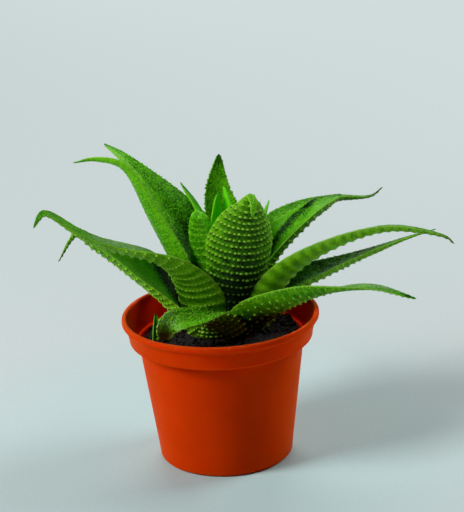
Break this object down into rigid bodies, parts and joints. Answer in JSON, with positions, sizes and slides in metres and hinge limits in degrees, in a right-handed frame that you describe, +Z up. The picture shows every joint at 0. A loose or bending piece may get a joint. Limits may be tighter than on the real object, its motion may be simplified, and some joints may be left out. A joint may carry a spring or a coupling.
{
  "type": "potted haworthia",
  "caption": "Small rosette succulent with toothed, pearl-ridged green leaves in a round tapered plastic pot of dark peat.",
  "frame": {"origin": "middle of the pot's flat underside, on the surface that the pot stands on", "axes": "+Z up along the pot's axis; -Y is the front that the picture shows; +X is the viewer's right"},
  "size_m": [0.1826, 0.1215, 0.1427],
  "materials": {
    "pot_plastic": "satin",
    "peat": "rough",
    "stem": "satin",
    "leaf": "satin",
    "heart_leaf": "satin"
  },
  "bodies": {
    "root": {"pot": "pot_plastic", "soil": "peat", "crown": "stem", "leaf_heart_left": "heart_leaf", "leaf_heart_right": "heart_leaf", "leaf_inner_left": "heart_leaf", "leaf_inner_curled": "heart_leaf", "leaf_inner_right": "heart_leaf", "leaf_front_upright": "leaf", "leaf_back_upright": "leaf", "leaf_right_back": "leaf", "leaf_upper_left_back": "leaf", "leaf_upper_left_front": "leaf", "leaf_right_upturned": "leaf", "leaf_left_long": "leaf", "leaf_right_long": "leaf", "leaf_left_hooked": "leaf", "leaf_right_lower": "leaf", "leaf_front_right_low": "leaf", "leaf_front_left_low": "leaf", "leaf_front_middle_low": "leaf", "leaf_back_low_right": "leaf", "leaf_back_low_middle": "leaf", "leaf_back_low_left": "leaf", "offset_shoot": "heart_leaf"}
  },
  "joints": []
}
